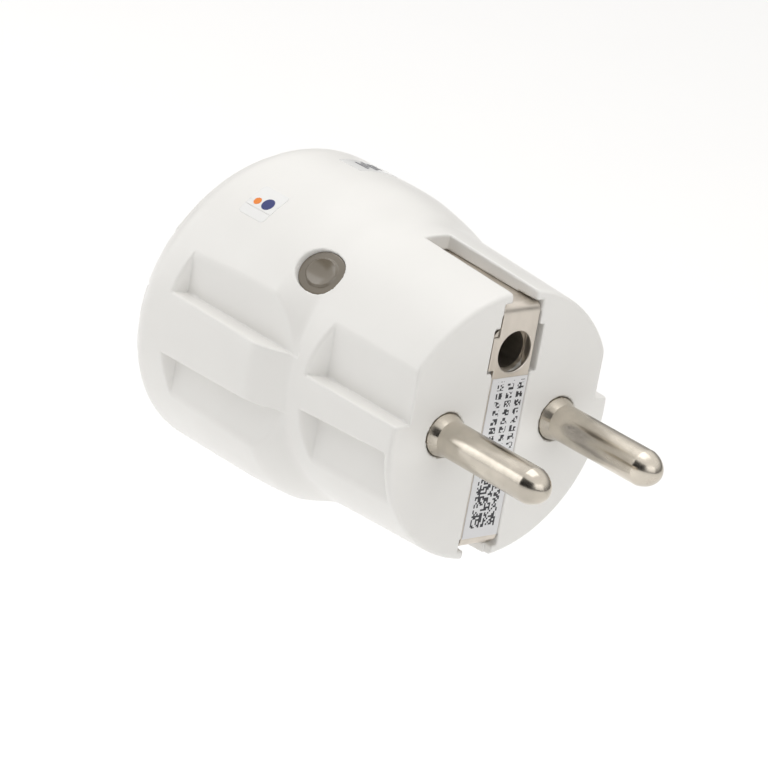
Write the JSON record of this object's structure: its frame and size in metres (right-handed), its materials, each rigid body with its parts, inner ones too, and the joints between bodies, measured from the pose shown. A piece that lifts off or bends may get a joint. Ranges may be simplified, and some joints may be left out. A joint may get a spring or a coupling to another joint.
{
  "type": "plug in power meter",
  "caption": "Round plug-in power meter: an earthed two-pin plug on one end, an earthed socket on the other, and a push button on the shoulder between them.",
  "frame": {"origin": "midway between the two plug pins, in the plane of the plug face", "axes": "+Y along the pins, away from the body; +X to the live pin; +Z towards the earth pin hole; the socket faces -Y"},
  "size_m": [0.043, 0.0692, 0.0431],
  "materials": {
    "white_shell": "satin",
    "white_insert": "satin",
    "nickel": "satin nickel plate",
    "label": "printed foil",
    "sticker": "printed film",
    "smoke_cap": "smoke tinted, translucent",
    "dark_plastic": "moulded",
    "ivory_plastic": "moulded",
    "led": "clear",
    "board": "solder resist",
    "steel": "satin",
    "copper": "copper",
    "gold": "gold flash",
    "brass": "stamped",
    "yellow_plastic": "moulded",
    "can": "sleeved",
    "ferrite": "sintered",
    "blue_coat": "dipped",
    "green_coat": "dipped",
    "grey_plastic": "moulded",
    "red_plastic": "moulded"
  },
  "bodies": {
    "housing": {"housing_shell": "white_shell", "housing_skirt": "white_shell", "socket_insert": "white_insert", "live_pin": "nickel", "neutral_pin": "nickel", "earth_strap": "nickel", "earth_sleeve": "nickel", "rating_label": "label", "mark_sticker": "sticker", "info_sticker": "sticker", "switch_body": "dark_plastic", "status_led": "led", "radio_board": "board", "radio_module": "steel", "antenna": "copper", "board_header": "gold", "power_board": "board", "relay_base": "dark_plastic", "relay_case": "dark_plastic", "relay_coil": "copper", "relay_yoke": "steel", "relay_fixed_contact": "brass", "current_shunt": "copper", "meter_chip": "dark_plastic", "supply_capacitor": "yellow_plastic", "bulk_capacitors": "can", "supply_inductor": "ferrite", "varistor": "blue_coat", "fuse_resistor": "green_coat", "contact_carrier": "grey_plastic", "live_contact": "brass", "neutral_contact": "brass", "shutter_spring": "steel", "earth_risers": "nickel", "housing_screws": "steel", "carrier_screws": "steel"},
    "button": {"button_cap": "smoke_cap"},
    "plunger": {"switch_plunger": "ivory_plastic"},
    "shutter": {"shutter": "red_plastic"},
    "clip_upper": {"earth_clip_upper": "nickel"},
    "clip_lower": {"earth_clip_lower": "nickel"},
    "armature": {"relay_armature": "steel", "relay_contact_arm": "copper"}
  },
  "joints": [
    {"name": "button_press", "type": "slide", "parent": "housing", "child": "button", "axis": [-0.7193, 0, -0.6947], "range_m": [0, 0.0004], "stiffness_N_per_m": 1200, "springref_m": -0.0004},
    {"name": "switch_travel", "type": "slide", "parent": "housing", "child": "plunger", "axis": [-0.7193, 0, -0.6947], "range_m": [0, 0.0004], "stiffness_N_per_m": 400, "springref_m": -0.0004},
    {"name": "shutter_turn", "type": "hinge", "parent": "housing", "child": "shutter", "pos_m": [0, -0.0284, 0], "axis": [0, -1, 0], "range_deg": [0, 38], "stiffness_Nm_per_rad": 0.002, "springref_deg": -17.19},
    {"name": "clip_upper_flex", "type": "hinge", "parent": "housing", "child": "clip_upper", "pos_m": [0, -0.03, 0.0191], "axis": [-1, 0, 0], "range_deg": [0, 3.5], "stiffness_Nm_per_rad": 0.2, "springref_deg": -2.86},
    {"name": "clip_lower_flex", "type": "hinge", "parent": "housing", "child": "clip_lower", "pos_m": [0, -0.03, -0.0191], "axis": [1, 0, 0], "range_deg": [0, 3.5], "stiffness_Nm_per_rad": 0.2, "springref_deg": -2.86},
    {"name": "armature_swing", "type": "hinge", "parent": "housing", "child": "armature", "pos_m": [0, -0.0232, -0.0132], "axis": [-1, 0, 0], "range_deg": [0, 5], "stiffness_Nm_per_rad": 0.01, "springref_deg": -5.73}
  ],
  "couplings": [
    {"joint": "switch_travel", "follows": "button_press", "ratio": 1}
  ]
}
